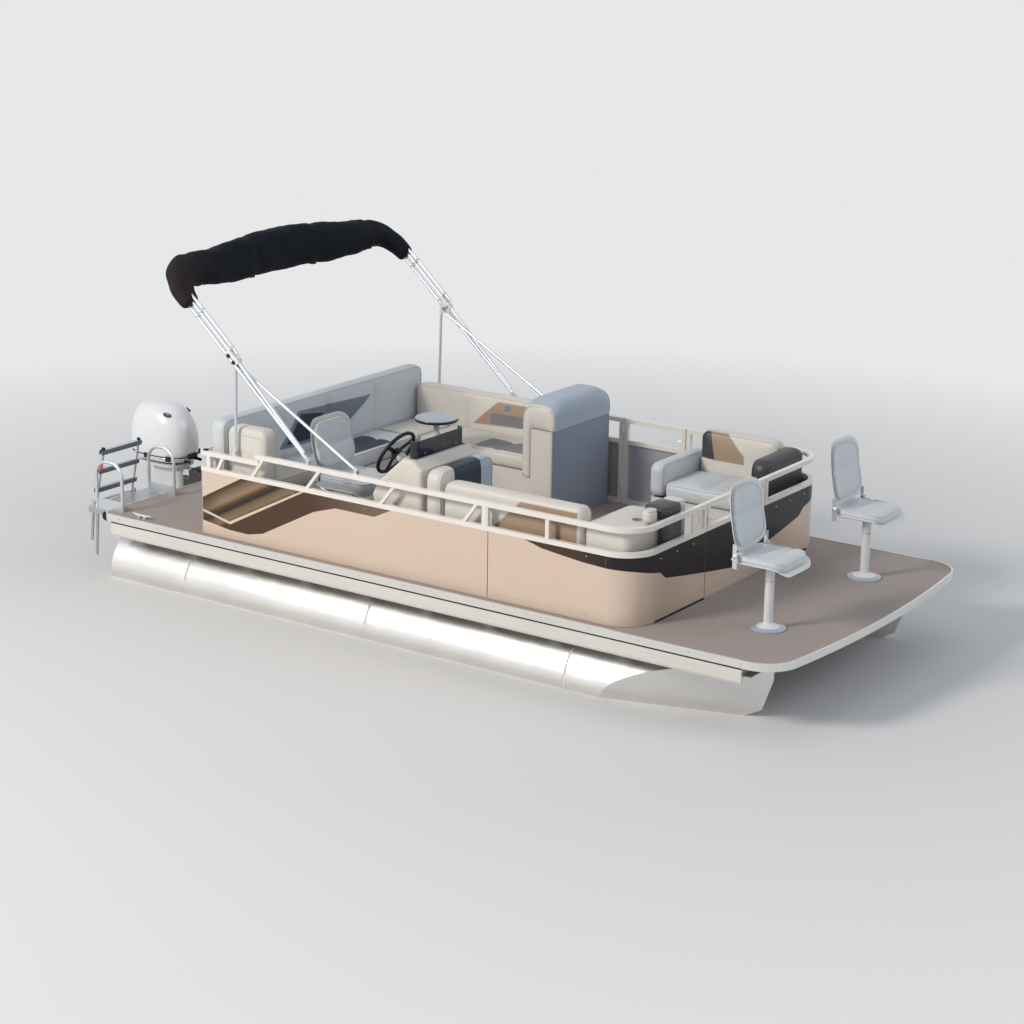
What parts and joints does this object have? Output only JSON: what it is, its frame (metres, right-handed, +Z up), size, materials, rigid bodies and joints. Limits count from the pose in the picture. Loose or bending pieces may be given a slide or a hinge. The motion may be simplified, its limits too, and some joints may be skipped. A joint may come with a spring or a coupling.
{
  "type": "pontoon fishing boat",
  "caption": "Twin-tube aluminium fishing boat afloat: fenced deck with lounges and helm, fishing chairs on the foredeck, folded bimini top, ladder and outboard motor.",
  "frame": {"origin": "on the water plane, on the centreline, under the deck's aft edge", "axes": "+X forward, +Y to port, +Z up"},
  "size_m": [6.4708, 2.61, 2.9109],
  "materials": {
    "tube_aluminium": "bright mill-finished sheet",
    "frame_aluminium": "mill finish",
    "rail_aluminium": "pale anodised rail",
    "trim_aluminium": "extruded edge trim",
    "panel_skin": "champagne baked enamel with dark brown graphics",
    "deck_cover": "woven taupe covering",
    "moulding": "rotomoulded",
    "upholstery": "marine vinyl, ivory with navy and tan inserts",
    "dash": "textured black",
    "tinted_screen": "smoked acrylic",
    "black_grip": "soft grip",
    "pedestal_metal": "pale enamel",
    "table_cover": "blue-grey laminate, dark edge",
    "bright_tube": "polished tube",
    "boot_cloth": "navy-black woven acrylic",
    "motor_white": "painted, pale grey",
    "motor_dark": "satin black casting",
    "motor_grey": "silver-grey paint"
  },
  "bodies": {
    "hull": {"pontoon_starboard": "tube_aluminium", "pontoon_port": "tube_aluminium", "cross_frame": "frame_aluminium", "deck": "deck_cover", "deck_trim": "trim_aluminium", "side_skirts": "trim_aluminium", "rails_starboard": "rail_aluminium", "rails_port": "rail_aluminium", "rails_stern": "rail_aluminium", "panels_starboard": "panel_skin", "panels_port": "panel_skin", "panels_stern": "panel_skin", "console": "moulding", "dash_panel": "dash", "windscreen": "tinted_screen", "lounge_bases": "moulding", "fixed_cushions": "upholstery", "lounge_backs": "upholstery", "lounge_end": "moulding", "lounge_end_cushion": "upholstery", "corner_table": "moulding", "pedestals": "pedestal_metal", "table_top": "table_cover", "boarding_platform": "frame_aluminium", "boarding_handrails": "bright_tube", "top_feet": "bright_tube", "motor_pod": "frame_aluminium", "motor_clamp": "motor_dark"},
    "wheel": {"steering_wheel": "black_grip"},
    "helm_chair": {"helm_seat": "upholstery", "helm_back": "upholstery"},
    "fishing_chair_starboard": {"fishing_seat_starboard": "upholstery"},
    "fishing_chair_port": {"fishing_seat_port": "upholstery"},
    "chair_back_starboard": {"fishing_back_starboard": "upholstery"},
    "chair_back_port": {"fishing_back_port": "upholstery"},
    "side_gate": {"side_gate_frame": "rail_aluminium", "side_gate_skin": "panel_skin"},
    "bow_gate": {"bow_gate_frame": "rail_aluminium", "bow_gate_skin": "panel_skin"},
    "ladder": {"boarding_ladder": "bright_tube"},
    "folding_top": {"top_bows": "bright_tube", "top_boot": "boot_cloth"},
    "rear_struts": {"top_rear_struts": "bright_tube"},
    "front_braces": {"top_front_braces": "bright_tube"},
    "motor_bracket": {"swivel_bracket": "motor_dark"},
    "motor": {"motor_leg": "motor_grey", "motor_cowl": "motor_white", "powerhead": "motor_dark"},
    "screw": {"propeller": "bright_tube"},
    "lid_stern": {"seat_stern": "upholstery"},
    "lid_port": {"seat_port": "upholstery"},
    "lid_port_front": {"seat_port_front": "upholstery"},
    "lid_starboard_front": {"seat_starboard_front": "upholstery"}
  },
  "joints": [
    {"name": "motor_tilt", "type": "hinge", "parent": "hull", "child": "motor_bracket", "pos_m": [-0.205, 0, 0.5], "axis": [0, 1, 0], "range_deg": [0, 65]},
    {"name": "motor_steer", "type": "hinge", "parent": "motor_bracket", "child": "motor", "pos_m": [-0.305, 0, 0.3], "axis": [0, 0, 1], "range_deg": [-30, 30]},
    {"name": "propeller_spin", "type": "hinge", "parent": "motor", "child": "screw", "pos_m": [-0.69, 0, -0.245], "axis": [1, 0, 0], "continuous": true},
    {"name": "wheel_turn", "type": "hinge", "parent": "hull", "child": "wheel", "pos_m": [2.215, -0.73, 1.18], "axis": [-0.866, 0, 0.5], "range_deg": [-540, 540]},
    {"name": "helm_swivel", "type": "hinge", "parent": "hull", "child": "helm_chair", "pos_m": [1.87, -0.73, 0.8], "axis": [0, 0, 1], "range_deg": [-100, 100]},
    {"name": "fishing_swivel_starboard", "type": "hinge", "parent": "hull", "child": "fishing_chair_starboard", "pos_m": [5.1, -0.665, 0.85], "axis": [0, 0, 1], "continuous": true},
    {"name": "fishing_swivel_port", "type": "hinge", "parent": "hull", "child": "fishing_chair_port", "pos_m": [5.1, 0.665, 0.85], "axis": [0, 0, 1], "continuous": true},
    {"name": "back_fold_starboard", "type": "hinge", "parent": "fishing_chair_starboard", "child": "chair_back_starboard", "pos_m": [4.96, -0.665, 0.982], "axis": [0, 1, 0], "range_deg": [0, 90]},
    {"name": "back_fold_port", "type": "hinge", "parent": "fishing_chair_port", "child": "chair_back_port", "pos_m": [4.96, 0.665, 0.982], "axis": [0, 1, 0], "range_deg": [0, 90]},
    {"name": "side_gate_swing", "type": "hinge", "parent": "hull", "child": "side_gate", "pos_m": [2.835, 1.201, 0.8], "axis": [0, 0, -1], "range_deg": [0, 90]},
    {"name": "bow_gate_swing", "type": "hinge", "parent": "hull", "child": "bow_gate", "pos_m": [4.436, 0.385, 0.8], "axis": [0, 0, -1], "range_deg": [0, 90]},
    {"name": "ladder_fold", "type": "hinge", "parent": "hull", "child": "ladder", "pos_m": [-0.237, -0.935, 0.498], "axis": [0, -1, 0], "range_deg": [0, 170]},
    {"name": "top_raise", "type": "hinge", "parent": "hull", "child": "folding_top", "pos_m": [1.85, 0, 1.162], "axis": [0, 1, 0], "range_deg": [0, 50]},
    {"name": "rear_strut_fold", "type": "hinge", "parent": "hull", "child": "rear_struts", "pos_m": [1.175, 0, 1.118], "axis": [0, 1, 0], "range_deg": [-80, 0]},
    {"name": "front_brace_fold", "type": "hinge", "parent": "hull", "child": "front_braces", "pos_m": [2.235, 0, 1.15], "axis": [0, 1, 0], "range_deg": [0, 150]},
    {"name": "lid_stern_lift", "type": "hinge", "parent": "hull", "child": "lid_stern", "pos_m": [1.061, 0, 0.92], "axis": [0, -1, 0], "range_deg": [0, 70]},
    {"name": "lid_port_lift", "type": "hinge", "parent": "hull", "child": "lid_port", "pos_m": [1.95, 1.019, 0.92], "axis": [-1, 0, 0], "range_deg": [0, 70]},
    {"name": "lid_port_front_lift", "type": "hinge", "parent": "hull", "child": "lid_port_front", "pos_m": [3.9, 1.019, 0.92], "axis": [-1, 0, 0], "range_deg": [0, 70]},
    {"name": "lid_starboard_front_lift", "type": "hinge", "parent": "hull", "child": "lid_starboard_front", "pos_m": [3.47, -1.019, 0.92], "axis": [1, 0, 0], "range_deg": [0, 70]}
  ],
  "couplings": [
    {"joint": "wheel_turn", "follows": "motor_steer", "ratio": -18}
  ]
}
